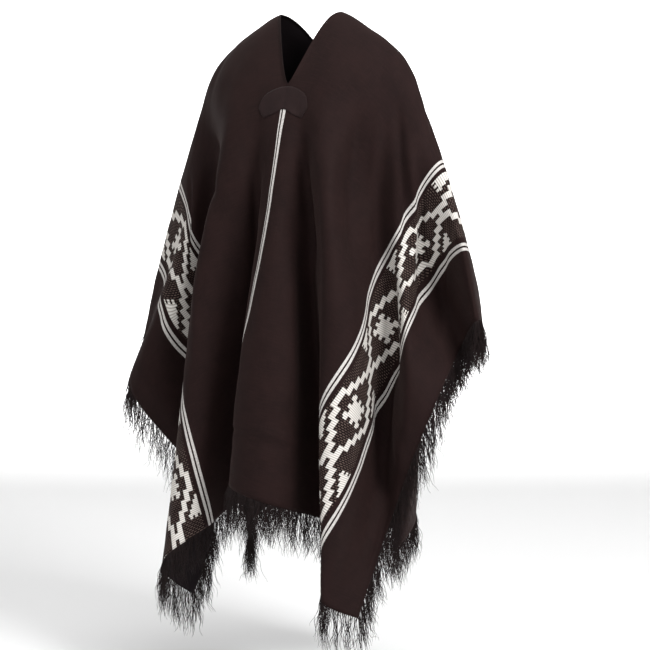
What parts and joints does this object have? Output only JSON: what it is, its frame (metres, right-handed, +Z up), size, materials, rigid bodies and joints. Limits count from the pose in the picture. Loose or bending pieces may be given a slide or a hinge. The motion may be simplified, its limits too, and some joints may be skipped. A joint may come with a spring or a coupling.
{
  "type": "poncho",
  "caption": "Wool poncho in its worn form: one heavy woven cloth with a slit neck and small neck patch, hanging in folds over chest, back and arms, with a fringe along each edge",
  "frame": {"origin": "on the shoulder line, midway between the two sides of the neck slit, at the height where the cloth rests beside the neck", "axes": "+Z up, the wearer faces -Y, +X is the wearer's left"},
  "size_m": [0.8345, 0.4997, 1.2339],
  "materials": {
    "black_brown_wool": "heavy plain-woven wool, very dark warm brown, with off-white figured bands and stripes",
    "patch_wool": "smooth woven wool, slightly greyer than the cloth",
    "fringe_yarn": "thin twisted wool yarn"
  },
  "bodies": {
    "root": {"cloth": "black_brown_wool", "neck_patch": "patch_wool", "fringe_front": "fringe_yarn", "fringe_back": "fringe_yarn", "fringe_left": "fringe_yarn", "fringe_right": "fringe_yarn"}
  },
  "joints": []
}
